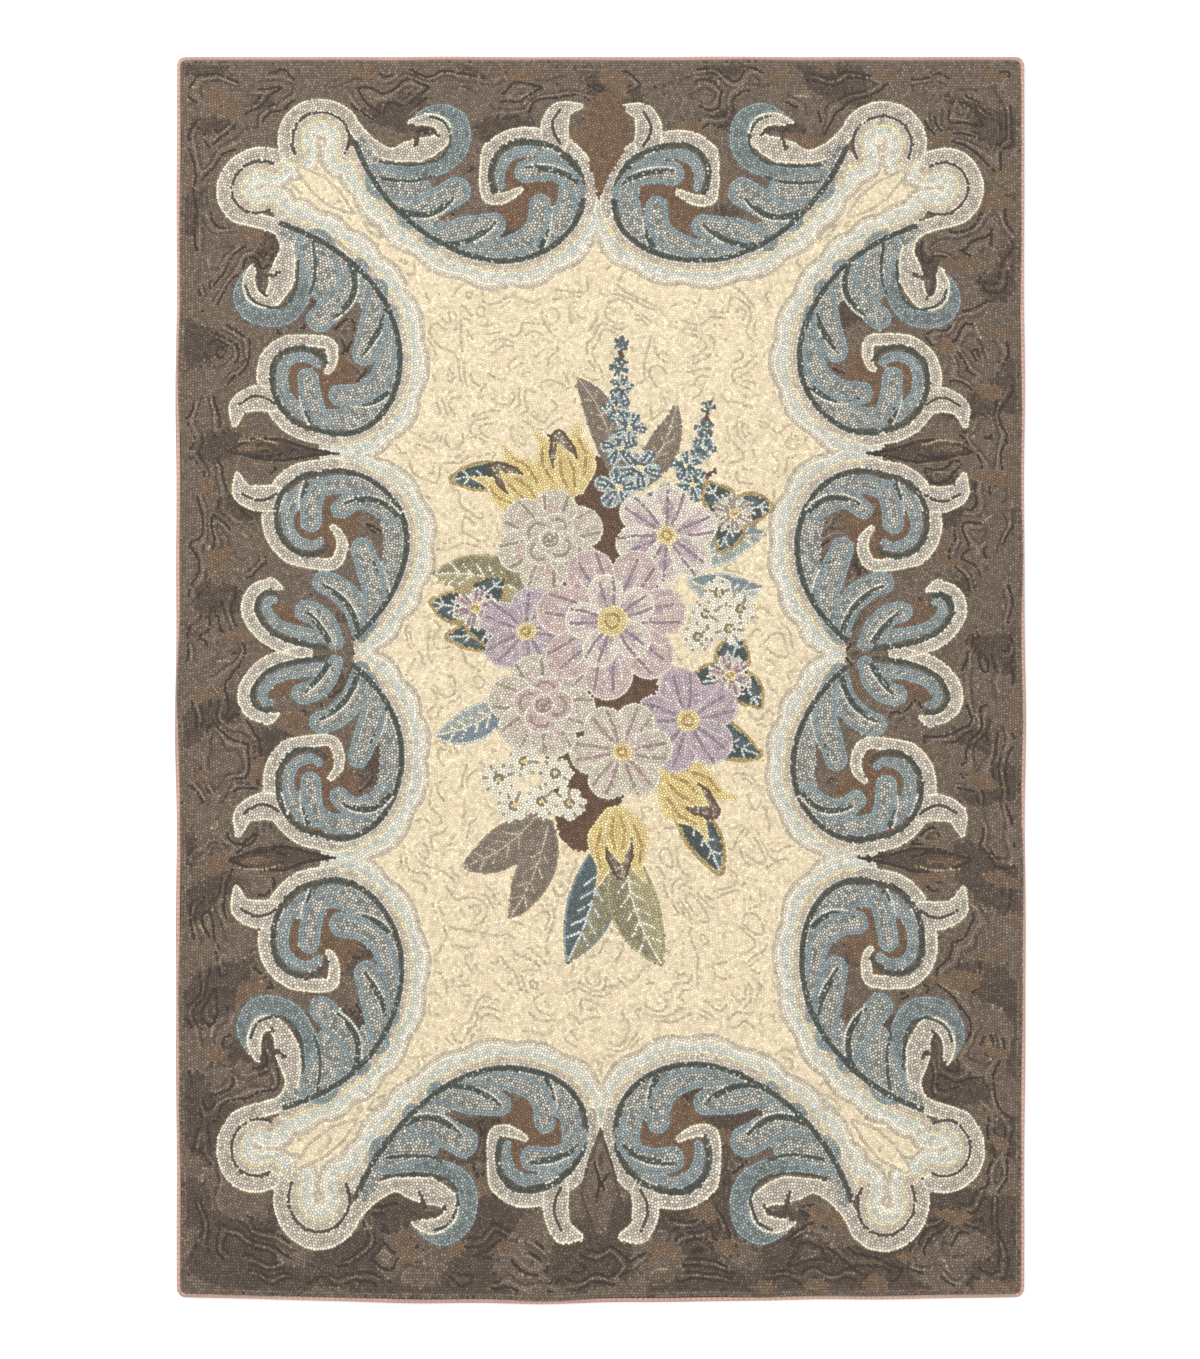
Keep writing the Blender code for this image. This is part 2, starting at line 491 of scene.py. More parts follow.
def blue_stroke(points, widths, name, edged=True):
    """A part of the blue leaf, edged with two rows or plain."""
    edges = ("blue_edge", "blue_edge") if edged else ()
    paint(stroke(placed(points, name), widths), "blue_tweed", edges, FOUR)


def pale_stroke(points, widths):
    paint(stroke(points, widths), "pale_tweed", ("cream_edge",), FOUR)


def along_band(points, half, keep_off):
    """A stroke beside a line, with its own half-width at each place, held off the line."""
    p = points[::5]
    widths = np.interp(np.linspace(0, 1, len(p)), np.linspace(0, 1, len(half)), half)
    return beside(p, widths + keep_off), widths


def draw_scroll(name):
    """A whole scroll in four copies: wrap, tail, ring, body, lobes, tongues, and its dark back on top."""
    scroll = SCROLLS[name]
    belly, volute = BACKS[name]
    paint(stroke(placed([(-6, 3), (3, 0)], name), (42, 42)), "rust", (), FOUR)
    outer = beside(np.vstack([belly[-14:-1], volute]), -WRAP / 2)
    last = int(len(outer) * 0.84)
    pale_stroke(placed(np.vstack([outer[:last:6], scroll["wrap_end"]]), name), (7.2,) * 14 + (6.8, 6.0, 4.0))
    tail_lift = scroll["tail_lift"]
    pale_stroke(placed(TAIL[0], name, tail_lift), TAIL[1])
    line(placed(curve(TAIL_VEIN), name, tail_lift), "thin_dark", FOUR)
    blue_stroke(*along_band(np.vstack([belly[-30:-1], volute]), scroll["ring"], BACK), name)
    blue_stroke(*along_band(belly[3:-26], scroll["body"], 2.0), name, edged=False)
    if name == "middle":
        draw_middle_curl(name)
    for strokes, veins in (("lobes", "veins"), ("tongues", "tongue_veins")):
        for points, widths in scroll[strokes]:
            blue_stroke(points, widths, name)
        for start, end, bend in scroll[veins]:
            vein(start, end, bend, name)
    for run in (belly, volute):
        dark_rows(run, name, ROW)


def draw_middle_curl(name):
    """The small curl at the foot of a middle scroll, where the two scrolls meet back to back."""
    curl = curve([
        (-149, -14), (-147, 10), (-141, 36), (-129, 59), (-108, 73), (-91, 70), (-83, 60), (-84, 51)
    ])
    pale, widths = along_band(curl[18:], (7.4, 7.4, 7.4, 7.4, 7.2, 6.0), 0.5)
    tip = [(-73, 56), (-80, 45)]
    pale_stroke(placed(np.vstack([pale, tip]), name), (*widths, 5.5, 3))
    paint(stroke(placed([(-118, 30), (-106, 46)], name), (11, 9)), "rust", (), FOUR)
    _, widths = along_band(curl, (8, 8, 8, 7, 6.5, 6, 4.5), 0.0)
    blue_stroke(beside(curl[::5], -(widths + BACK)), widths, name)
    dark_rows(curl, name, -ROW)


# ---- ground: mottled, with its foot and its rim darker ----
GRAIN = 0.16  # how much the mottling differs from cell to cell
DARK_OVER, RUSTY_OVER = 1.1, 1.45
FOOT_DARKER, RIM_DARKER, RIM_WIDTH = 1.3, 0.35, 60.0

grid_x, grid_y = np.meshgrid(GRID_X, GRID_Y)
grain = rng.normal(0, GRAIN, (NY, NX))
blotch = smooth_noise(46, 11) + grain
rusty = smooth_noise(30, 12, stretch=1.6) + grain
to_rim = np.minimum(HALF_X - np.abs(grid_x), HALF_Y - np.abs(grid_y))
darker = FOOT_DARKER * np.clip(-grid_y / HALF_Y, 0, 1) + RIM_DARKER * np.clip(1 - to_rim / RIM_WIDTH, 0, 1)
ink[:] = ID["ground"]
ink[blotch + darker > DARK_OVER] = ID["ground_dark"]
ink[rusty > RUSTY_OVER] = ID["ground_rust"]

# ---- pale outer bands, drawn first so that everything else lies on them ----
for name, (middle, radius, sweep) in NECK.items():
    lift = SCROLLS[name]["lift"]
    round_lobe = arc(middle, radius + 8.0, *sweep, 10)
    blue_stroke([(-160, 16), (-176, 6)], (14, 12), name, edged=False)
    paint(stroke(placed(HOOK[0], name, lift), HOOK[1]), "blue", ("blue_edge",), FOUR)
    pale_stroke(np.vstack([round_lobe, placed(INNER_LEAF[0], name, lift)]), (8.2,) * 10 + INNER_LEAF[1])
    for points, widths in NOTCHES:
        paint(stroke(placed(points, name, lift), widths), "ground_dark", (), FOUR)
    line(placed(curve(HOOK_VEIN), name, lift), "teal", FOUR)

# ---- the cartouche: bands measured from the dark backs of the scrolls ----
bellies = {name: placed(BACKS[name][0], name) for name in SCROLLS}
short_neck, long_neck = NECK["short"][:2], NECK["long"][:2]
necks = {"short": arc(*short_neck, -28, 212, 50), "long": arc(*long_neck, 58, 298, 50)}
middle_x = bellies["middle"][0, 0]
upper_back = np.vstack([bellies["short"][::-1], necks["short"]])
side_back = np.vstack([necks["long"], bellies["long"]])
quarter = np.vstack([
    [(0, 497)], upper_back, side_back, bellies["middle"][::-1], [(middle_x, -4), (0, -4)],
])
BACK_STEP = 2.5
dark_lines = np.vstack([even(back, BACK_STEP) for back in (upper_back, side_back, bellies["middle"])])
cartouche = Field((-450, -1), (1, 650))
outline = outline_field(quarter)
inside = np.full(cartouche.x.shape, 50.0)
first_j, first_i = outline.j0 - cartouche.j0, outline.i0 - cartouche.i0
from_j, from_i = max(0, -first_j), max(0, -first_i)
to_j = min(outline.f.shape[0], inside.shape[0] - first_j)
to_i = min(outline.f.shape[1], inside.shape[1] - first_i)
window = inside[first_j + from_j : first_j + to_j, first_i + from_i : first_i + to_i]
window[:] = outline.f[from_j:to_j, from_i:to_i]
away, along = nearest(cartouche.x, cartouche.y, dark_lines)
run_along = along * BACK_STEP
# The bands' scallops: how deep, how long, and how far apart they stretch and close up again.
SCALLOP_DEEP, SCALLOP_LONG, SCALLOP_VARIES = 5.0, 41.0, 53.0
waves = np.pi * run_along / SCALLOP_LONG + 0.7 * np.sin(run_along / SCALLOP_VARIES)
scallop = SCALLOP_DEEP * np.abs(np.sin(waves))
# Where each band ends, as a distance from the dark line.
PINK_TO, YELLOW_TO, SKY_TO, LAVENDER_TO = 8.7, 11.6, 19.5, 25.5


def band(low, high, yarn):
    """The part of the cartouche between two distances from the dark line."""
    cartouche.f = np.maximum(inside, np.maximum(low - away, away - high))
    paint(cartouche, yarn, (), FOUR)


band(-9, PINK_TO, "pink_tweed")
band(PINK_TO, YELLOW_TO, "yellow_line")
band(YELLOW_TO, SKY_TO + scallop, "sky")
band(YELLOW_TO + 1.5, YELLOW_TO + 5.0, "sky_blue")
band(SKY_TO + scallop, LAVENDER_TO + scallop, "lavender")
band(LAVENDER_TO + scallop, 999, "field")
for reach, yarn in ((SKY_TO + scallop, "white_line"), (LAVENDER_TO + scallop, "gray_line")):
    inner = np.where(inside < 0, reach - away, 5.0)
    for points in level_lines(inner, 0.0, cartouche.x[0, 0], cartouche.y[0, 0]):
        j, i = cell_of(points)
        j = np.clip(j - cartouche.j0, 0, inside.shape[0] - 1)
        i = np.clip(i - cartouche.i0, 0, inside.shape[1] - 1)
        keep = inside[j, i] < -2
        if keep.sum() > 5:
            line(points[keep], yarn, FOUR)
line(arc(*short_neck, -28, 208, 60), "thin_dark", FOUR)
line(arc(*long_neck, 62, 298, 60), "thin_dark", FOUR)
for (middle, radius), start, end in ((short_neck, 215, -35), (long_neck, 55, 300)):
    line(arc(middle, radius - PINK_TO - 1.5, start, end, 30), "yellow_line", FOUR)
# Cream hearts of the corner necks.
for points, widths in (
    ([(-322, 534), (-302, 518), (-284, 503), (-262, 486)], (5, 11.5, 11, 2.5)),
    ([(-252, 478), (-243, 470), (-230, 459)], (1.5, 5.5, 1.5)),
):
    paint(stroke(points, widths), "field", ("gray_line",), FOUR)

# ---- the leaves ----
for name in SCROLLS:
    draw_scroll(name)
for name in NECK:
    line(placed(curve(UNDER_HOOK), name, SCROLLS[name]["lift"]), "teal", FOUR)

# Dark leaves lying in the cusps of the long sides, and a rust one at the top.
for sx in (-1, 1):
    copies = ((sx, 1), (sx, -1))
    blade = stroke([(-396, 224), (-376, 226), (-350, 225), (-318, 223), (-276, 223)], (2, 12, 13, 5, 1.2))
    paint(blade, "ground_dark", ("ground_line",), copies)
    paint(stroke([(-382, 227), (-352, 226)], (3.5, 2.5)), "ground_rust", (), copies)
    line([(-378, 219), (-350, 217), (-334, 221)], "ground_line", copies)
    line([(-384, 234), (-360, 236), (-340, 231)], "ground_tan", copies)
paint(stroke([(5, 602), (5, 590), (4, 566), (2, 538), (0, 505)], (18, 26, 21, 11, 2)), "rust")
paint(stroke([(0, -592), (0, -568), (0, -540), (0, -505)], (10, 22, 14, 2)), "ground", ("ground_dark",))

# ---- the spray: ordinary garden flowers in a loose upright oval ----
def at(centre, angle, points, size=1.0):
    """Points of a small drawing turned by an angle in degrees, scaled, and moved to its place."""
    a = math.radians(angle)
    p = np.atleast_2d(np.asarray(points, float)) * size
    turned = [p[:, 0] * math.cos(a) - p[:, 1] * math.sin(a), p[:, 0] * math.sin(a) + p[:, 1] * math.cos(a)]
    return np.column_stack(turned) + np.asarray(centre, float)


def stem(points):
    paint(stroke(points, (3.0, 3.0, 2.4)), "stem")


# A leaf's colours: its blade, its shaded half, its edge and its veins. A teal leaf has a golden outline too.
LEAVES = {
    "green": ("green", "olive", "olive", "rose_edge"),
    "blue": ("bell_dark", "green", "bell", "bell_light"),
    "brown": ("brown_leaf", "shade", "brown_leaf", "brown_vein"),
    "mist": ("mist", "bell", "bell_light", "rose_edge"),
    "teal": ("dark_teal", "bell_dark", "dark_teal", "bell_light"),
}


def leaf(base, tip, width, bend, look, ribs=4):
    """A pointed leaf: one half shaded, with a middle vein and slanting ribs."""
    blade, shaded, edge, veins = LEAVES[look]
    mid = bent(base, tip, bend)
    t = np.linspace(0, 1, 15)
    half = width * np.sin(np.pi * (0.08 + 0.9 * t)) ** 0.75 + 0.4
    if look == "teal":
        paint(stroke(mid, half + 4.5), "olive", ("gold_dark",))
    paint(stroke(mid, half), blade, (edge,))
    paint(stroke(beside(mid, half * 0.45), half * 0.42), shaded)
    spine = even(mid, 1.5)
    line(spine, veins)
    for k in range(1, ribs + 1):
        start = int(len(spine) * (0.12 + 0.62 * k / ribs))
        here = spine[start]
        ahead = spine[min(len(spine) - 1, start + 8)] - here
        heading = math.degrees(math.atan2(ahead[1], ahead[0]))
        for turn in (-46, 46):
            line(at(here, heading + turn, [(2, 0), (width * 0.66, 0)]), veins)


# A flower's colours: petal, the petal's shaded root, its rim, its light streaks and its dark lines.
FLOWERS = {
    "pink": ("pink", "mauve", "pink_light", "pink_light", "mauve_dark"),
    "mauve": ("mauve", "mauve", "mauve_light", "mauve_light", "mauve_dark"),
    "shell": ("rose", "pink", "rose_edge", "pink_light", "rose_line"),
    "blush": ("pink_light", "mauve", "white", "pink", "mauve_dark"),
    "bell": ("bell", "bell_dark", "bell_light", "bell_light", "bell_dark"),
}


def petal(centre, angle, length, width, look, streaks=(-0.7, -0.25, 0.25, 0.7)):
    """A broad petal from the flower's middle outwards, with a shaded root, a light rim and lines along it."""
    fill, root, rim, light, dark = FLOWERS[look]
    spine = [(length * 0.12, 0), (length * 0.42, 0), (length - width, 0)]
    paint(stroke(at(centre, angle, spine), (width * 0.4, width * 0.85, width)), fill, (rim,))
    heart = [(length * 0.2, 0), (length * 0.45, width * 0.1), (length * 0.62, width * 0.12)]
    paint(stroke(at(centre, angle, heart), (width * 0.3, width * 0.42, width * 0.2)), root)
    for k, s in enumerate(streaks):
        end = 0.86 - 0.1 * (k % 2)
        run = [(length * u, s * width * v) for u, v in ((0.26, 0.3), (0.55, 0.62), (end, 0.8))]
        line(at(centre, angle, run), light if k % 2 else dark)


def eye(centre, radius, yarn="yolk"):
    """A flower's round middle, with a curled line in it."""
    paint(spot(centre, radius), yarn, ("gold_light",))
    line(arc(centre, radius * 0.45, 0, 320, 12), "gold_dark")


def open_flower(centre, size, petals, turn, look, eye_size, width=0.4, eye_yarn="yolk"):
    """A flat open flower seen from the front, its petals overlapping one way round."""
    for k in range(petals):
        petal(centre, turn + 360.0 * k / petals, size, size * width, look)
    eye(centre, eye_size, eye_yarn)


def peony(centre, size, turn):
    """A large double flower: a ring of broad petals, a second ring of smaller ones and a golden middle."""
    for k in range(7):
        petal(centre, turn + 360 / 7 * k, size, size * 0.32, "pink")
    for k in range(5):
        petal(centre, turn + 20 + 72 * k, size * 0.62, size * 0.24, "blush")
    eye(centre, size * 0.2)


def rose(centre, size, turn, heart="rose"):
    """A full-blown rose: outer petals, then smaller ones folded round a coiled heart."""
    for k in range(6):
        petal(centre, turn + 60 * k, size * (1.0 - 0.05 * (k % 2)), size * 0.42, "shell", (-0.6, 0.1, 0.7))
    for k in range(4):
        middle = at(centre, turn + 35 + 90 * k, [(size * 0.24, 0)])[0]
        paint(spot(middle, size * 0.3), heart, ("rose_edge",))
        line(arc(middle, size * 0.17, turn + 90 * k - 60, turn + 90 * k + 110, 12), "rose_line")
    paint(spot(centre, size * 0.2), heart, ("rose_edge",))
    coil = np.linspace(0, 4.4 * np.pi, 50)
    reach = coil * size * 0.011
    line(np.column_stack([centre[0] + reach * np.cos(coil), centre[1] + reach * np.sin(coil)]), "rose_line")


def tulip(foot, angle, size):
    """A golden tulip from the side: two back petals, a speckled inside, and a pointed front petal."""

    def part(points, widths, fill, edge):
        paint(stroke(at(foot, angle, points, size), [w * size for w in widths]), fill, (edge,))

    for s in (-1, 1):
        part([(8, 6 * s), (34, 19 * s), (62, 17 * s), (82, 25 * s)], (8, 14, 9, 2), "gold", "gold_light")
    part([(36, 0), (56, 0), (70, 0)], (14, 15, 8), "throat", "stem")
    part([(8, 0), (26, 0), (44, 0), (60, 2)], (9, 15, 12, 2), "gold", "gold_light")
    for s in (-0.5, 0.5):
        line(at(foot, angle, [(12, 8 * s), (28, 14 * s), (44, 9 * s)], size), "gold_dark")
    for s in (-1, 1):
        line(at(foot, angle, [(22, 17 * s), (44, 24 * s), (62, 20 * s)], size), "gold_dark")


def spire(points, first, last, count):
    """A spire of blue florets, large at its foot and small at its tip, on both sides of its stem."""
    stem(points)
    spine = curve(points)
    for k in range(count):
        share = k / (count - 1)
        here = spine[int((len(spine) - 1) * share)]
        size = first + (last - first) * share
        side = size * 0.55 * (1 if k % 2 else -1) * (1 - share)
        open_flower(here + (side, 0), size, 5, 18 + 40 * k, "bell", size * 0.16, 0.36, "white")


def button(centre, size, turn, look):
    """A small flower sitting on three dark, toothed leaves with golden edges."""
    for k in range(3):
        tip = at(centre, turn + 120 * k, [(size * 1.75, 0)])[0]
        leaf(centre, tip, size * 0.62, 2, "teal", 2)
    open_flower(centre, size, 6, turn + 30, look, size * 0.26, 0.34)


def daisies(places, size=18.0):
    """White daisies lying over one another, each with a golden eye."""
    for k, centre in enumerate(places):
        for m in range(7):
            angle = 360 / 7 * m + 23 * k
            run = at(centre, angle, [(size * 0.2, 0), (size * 0.66, 0)])
            paint(stroke(run, (size * 0.16, size * 0.34)), "white")
            line(at(centre, angle + 180 / 7, [(size * 0.3, 0), (size * 0.86, 0)]), "rose_line")
        line(arc(centre, size * 0.24, 0, 330, 10), "shade")
        paint(spot(centre, size * 0.17), "yolk")


# Shade between the flowers, and the stems that run out of it.
paint(stroke([(-18, -190), (-4, -60), (-2, 90), (-8, 190)], (26, 62, 66, 24)), "stem")
for points in (
    [(-24, 170), (-44, 200), (-56, 240)], [(-60, 150), (-92, 184), (-110, 206)],
    [(60, -140), (84, -156), (100, -172)], [(6, -180), (14, -216), (18, -240)],
    [(70, 150), (96, 178), (122, 196)], [(-60, -110), (-92, -124), (-118, -132)],
):
    stem(points)

# Leaves round the outside: base, tip, half-width, bow, colours and how many pairs of ribs.
for base, tip, width, bend, look, ribs in (
    ((20, 190), (-22, 306), 19, -9, "brown", 4),
    ((36, 180), (84, 268), 17, -8, "brown", 4),
    ((-84, 60), (-176, 86), 25, -10, "green", 5),
    ((-90, 40), (-160, 14), 17, 8, "teal", 3),
    ((96, 92), (172, 128), 20, 8, "mist", 4),
    ((98, 74), (170, 70), 19, -6, "mist", 4),
    ((-100, -58), (-172, -92), 19, 8, "mist", 4),
    ((104, -70), (168, -112), 16, -7, "teal", 4),
    ((2, -214), (-30, -328), 26, 8, "blue", 5),
    ((28, -216), (64, -334), 26, -7, "green", 5),
    ((-66, -180), (-140, -226), 21, 8, "brown", 4),
    ((-54, -190), (-92, -280), 20, 6, "brown", 4),
    ((84, -170), (128, -236), 15, 5, "teal", 3),
    ((-96, 190), (-160, 196), 13, -4, "teal", 3),
):
    leaf(base, tip, width, bend, look, ribs)

# Spires and tulips at the top, tulips at the foot.
spire([(34, 176), (30, 230), (22, 284), (26, 344)], 27, 9, 8)
spire([(82, 160), (96, 196), (112, 232), (118, 268)], 23, 8, 6)
for foot, angle, size in (
    ((-30, 166), 102, 1.06), ((-66, 158), 136, 0.98), ((62, -132), -36, 1.05), ((16, -168), -84, 1.02),
):
    tulip(foot, angle, size)

# The small flowers at the sides.
for centre, size, turn, look in (
    ((-136, 46), 24, 50, "blush"), ((140, 150), 22, 10, "shell"), ((138, -26), 24, 75, "blush"),
):
    button(centre, size, turn, look)
daisies([(112, 40), (138, 26), (126, 64), (104, 14), (150, 48)])
daisies([(-46, -134), (-78, -122), (-104, -140), (-60, -164), (-88, -168), (-32, -166)])

# The middle.
rose((-58, 120), 60, 18)
open_flower((68, 124), 58, 6, 20, "blush", 11, 0.38)
open_flower((92, -78), 58, 5, 30, "mauve", 12, 0.42)
open_flower((-84, 20), 50, 5, 80, "mauve", 10, 0.42)
rose((-62, -60), 60, 50, "pink")
open_flower((22, -110), 54, 6, 65, "shell", 10, 0.4)
peony((8, 28), 84, 12)

# ---- PLACING the loops ----
corner_x, corner_y = HALF_X - PILE_CORNER, HALF_Y - PILE_CORNER


def edge_distance(x, y):
    """How far inside the pile's edge, a rectangle with round corners."""
    qx, qy = np.abs(x) - corner_x, np.abs(y) - corner_y
    outside = np.hypot(np.maximum(qx, 0), np.maximum(qy, 0)) + np.minimum(np.maximum(qx, qy), 0)
    return PILE_CORNER - outside


rim = edge_distance(grid_x, grid_y)
ON_TOP = 10**6  # more than there are shapes
for inset in (1.5, 1.5 + ROW):
    for points in level_lines(rim, inset):
        rows.append((points, ID["ground"], ON_TOP))

# Which places are taken already, on a finer grid.
FINE = 0.75
FX, FY = int(2 * HALF_X / FINE) + 40, int(2 * HALF_Y / FINE) + 40
taken = np.zeros((FY, FX), bool)


placed_at, placed_yarn = [], []


def put_down(points, yarns, radius):
    """Puts a loop at each point that isn't too near an earlier one."""
    n = int(radius / FINE) + 1
    v, u = np.mgrid[-n : n + 1, -n : n + 1]
    stamp = np.hypot(u, v) * FINE <= radius
    i = np.rint(points[:, 0] / FINE + FX / 2).astype(int)
    j = np.rint(points[:, 1] / FINE + FY / 2).astype(int)
    inside_pile = edge_distance(points[:, 0], points[:, 1]) > 1.2
    for k in np.nonzero(inside_pile)[0]:
        a, b = i[k], j[k]
        if taken[b, a]:
            continue
        taken[b - n : b + n + 1, a - n : a + n + 1] |= stamp
        placed_at.append(points[k])
        placed_yarn.append(yarns[k])


def put_down_line(points, yarn, seen):
    """A row of loops of one yarn along a line, where it is seen."""
    put_down(points[seen], np.full(seen.sum(), yarn), LINE_ROOM)


# Outlines and veins: the last shapes drawn come first, and what they cover is left out.
kept = []
for points, yarn, order in sorted(rows, key=lambda row: -row[2]):
    closed = np.hypot(*(points[0] - points[-1])) < 2 * CELL
    run = even(points, PITCH if len(points) > 6 else 2.0)
    run = run + rng.normal(0, LINE_JITTER, run.shape)
    if closed:
        run = run[:-1]
    put_down_line(run, yarn, top[cell_of(run)] <= order)
    dense = even(points, CELL)
    kept.append(dense[top[cell_of(dense)] <= order])
outlines = np.vstack(kept)

# How far each place is from the nearest outline, spread outwards from the outlines in halving jumps.
j, i = cell_of(outlines)
seed_x = np.full((NY, NX), 1e6)
seed_y = np.full((NY, NX), 1e6)
seed_x[j, i], seed_y[j, i] = outlines[:, 0], outlines[:, 1]
best = np.hypot(seed_x - grid_x, seed_y - grid_y)
jump = 64
while jump >= 1:
    for dj in (-jump, 0, jump):
        for di in (-jump, 0, jump):
            if dj == 0 and di == 0:
                continue
            to = (slice(max(0, dj), NY + min(0, dj)), slice(max(0, di), NX + min(0, di)))
            source = (slice(max(0, -dj), NY + min(0, -dj)), slice(max(0, -di), NX + min(0, -di)))
            sx, sy = seed_x[source].copy(), seed_y[source].copy()
            d = np.hypot(sx - grid_x[to], sy - grid_y[to])
            closer = d < best[to]
            best[to] = np.where(closer, d, best[to])
            seed_x[to] = np.where(closer, sx, seed_x[to])
            seed_y[to] = np.where(closer, sy, seed_y[to])
    jump //= 2

# Wandering lines in the field and the ground, which echo the outlines beside them: the yarn they lie in,
# how far from the outlines they run, their own yarn, how much they sway and drift, and where they break off.
SWAY, DRIFT = smooth_noise(26, 31), smooth_noise(60, 33)
SHORT_BREAKS, LONG_BREAKS = smooth_noise(24, 32), smooth_noise(42, 34)
for home, levels, marks, sway, drift, breaks, opening in (
    ("field", (13, 26, 40, 56, 73, 91), "field_line", 8.0, 3.0, SHORT_BREAKS, -0.25),
    ("ground", (11, 30, 49, 70), "ground_line", 4.0, 5.0, LONG_BREAKS, -0.1),
    ("ground", (20, 39, 59, 82), "ground_dark", 4.0, 5.0, LONG_BREAKS, -0.8),
    ("ground", (16, 35, 54, 76), "ground_light", 4.0, 5.0, LONG_BREAKS, -0.3),
    ("ground", (24, 52), "ground_tan", 9.0, 3.0, SHORT_BREAKS, 1.1),
    ("ground_dark", (11, 20, 30, 39, 49, 60, 71, 83), "ground_line", 4.0, 5.0, LONG_BREAKS, -0.7),
    ("ground_dark", (16, 35, 54, 76), "ground", 4.0, 5.0, LONG_BREAKS, -0.3),
):
    swayed = best + sway * SWAY + drift * DRIFT
    for level in levels:
        for points in level_lines(swayed, level):
            run = even(points, PITCH)
            run = run + rng.normal(0, LINE_JITTER, run.shape)
            cells = cell_of(run)
            seen = (ink[cells] == ID[home]) & (breaks[cells] > opening) & (best[cells] > 1.5 * ROW)
            put_down_line(run, ID[marks], seen)

# Rows that echo the outlines, then single loops in what gaps are left.
level = ROW
while level < 90:
    for points in level_lines(best, level):
        run = even(points, PITCH) + rng.normal(0, ROW_SHIFT, (1, 2))
        run = run + rng.normal(0, ROW_JITTER, run.shape)
        put_down(run, ink[cell_of(run)], ROW_ROOM)
    level += ROW
for radius in GAP_ROOMS:
    fj, fi = np.nonzero(~taken)
    pick = rng.permutation(len(fj))
    points = np.column_stack([(fi[pick] - FX / 2) * FINE, (fj[pick] - FY / 2) * FINE]).astype(float)
    put_down(points, ink[cell_of(points)], radius)

loops = np.array(placed_at)
yarn_of = np.array(placed_yarn)

# ---- MESH: the rug as it really lies ----
# How far each side bows outwards, and the small waves along it: (waves in its length, height, phase).
SIDE_BOWS = {"right": 1.0, "top": 0.0, "left": 1.0, "bottom": 6.0}
SIDE_WAVES = {
    "right": ((1, 0.8, 0.0), (4, 0.6, 1.9), (7, 0.4, 0.3)),
    "top": ((3, 0.2, 0.7), (6, 0.2, 1.1)),
    "left": ((4, 0.6, 0.9), (7, 0.5, 2.6)),
    "bottom": ((1, 2.0, 0.0), (5, 0.5, 0.2), (7, 0.4, 1.7)),
}
TAPE_CORNER = 9.0
EDGE_X, EDGE_Y = RUG_WIDTH / 2 - TAPE_CORNER, RUG_LENGTH / 2 - TAPE_CORNER


def wave(side_name, share):
    """How far out of true a side lies, at a share of its length."""
    share = np.clip(share, 0, 1)
    waves = sum(a * np.sin(2 * np.pi * n * share + phase) for n, a, phase in SIDE_WAVES[side_name])
    return (SIDE_BOWS[side_name] + waves) * np.sin(np.pi * share)


def side_shares(x, y):
    return {
        "right": (y + EDGE_Y) / (2 * EDGE_Y),
        "top": (EDGE_X - x) / (2 * EDGE_X),
        "left": (EDGE_Y - y) / (2 * EDGE_Y),
        "bottom": (x + EDGE_X) / (2 * EDGE_X),
    }


def pushed_out(x, y, half_x, half_y, extra=None):
    """The true rectangle's points moved as its uneven sides lie; extra adds to each side's wave."""
    share = side_shares(x, y)
    lift = {name: wave(name, share[name]) + (extra(name, share[name]) if extra else 0) for name in share}
    right, left, upper, lower = (
        np.clip(q, 0, 1.02) ** 5 for q in (x / half_x, -x / half_x, y / half_y, -y / half_y)
    )
    return (
        x + lift["right"] * right - lift["left"] * left,
        y + lift["top"] * upper - lift["bottom"] * lower,
    )


def tape_outline(inset, step):
    """The rug's rounded outline drawn in by inset, counter-clockwise, with its uneven sides."""
    radius = max(TAPE_CORNER - inset, 1.2)
    cx, cy = RUG_WIDTH / 2 - inset - radius, RUG_LENGTH / 2 - inset - radius
    parts = []
    for (sx, sy), start in (((1, -1), -90), ((1, 1), 0), ((-1, 1), 90), ((-1, -1), 180)):
        parts.append(arc((sx * cx, sy * cy), radius, start, start + 90, 10))
    counts = [int(2 * cy / step), int(2 * cx / step)] * 2
    out = []
    for k, part in enumerate(parts):
        out.append(part)
        after = parts[(k + 1) % 4][0]
        t = np.linspace(0, 1, counts[k] + 1)[1:-1, None]
        out.append(part[-1] * (1 - t) + after * t)
    p = np.vstack(out)
    x, y = pushed_out(p[:, 0], p[:, 1], RUG_WIDTH / 2 - inset, RUG_LENGTH / 2 - inset)
    return np.column_stack([x, y])


whole = tape_outline(0.0, 4.0)
OFF_CENTRE = (whole.min(0) + whole.max(0)) / 2


# For each side of the pile: its phase, how much it waves, and how far it lies out over the tape.
PILE_WOBBLES = {
    "right": (1.3, 0.9, 0.6), "top": (2.1, 0.4, 0.0), "left": (3.7, 1.3, 0.3), "bottom": (5.2, 0.6, -0.6)
}


def pile_wobble(name, share):
    """The pile's edge doesn't run quite beside the tape, so more or less of the tape shows."""
    phase, much, out = PILE_WOBBLES[name]
    uneven = np.sin(2 * np.pi * 3.3 * share + phase) + 0.65 * np.sin(2 * np.pi * 8.1 * share + 2 * phase)
    return (much * uneven + out) * np.sin(np.pi * np.clip(share, 0, 1)) ** 0.5


WHOLE_LIFT, MIDDLE_LIFT = 6.0, 20.0
LOWER_LIFT = 14.0  # the lower scrolls lie this much nearer the middle than the upper ones


def ease(share):
    """0 to 1 with a gentle start and end."""
    share = np.clip(share, 0, 1)
    return share * share * (3 - 2 * share)


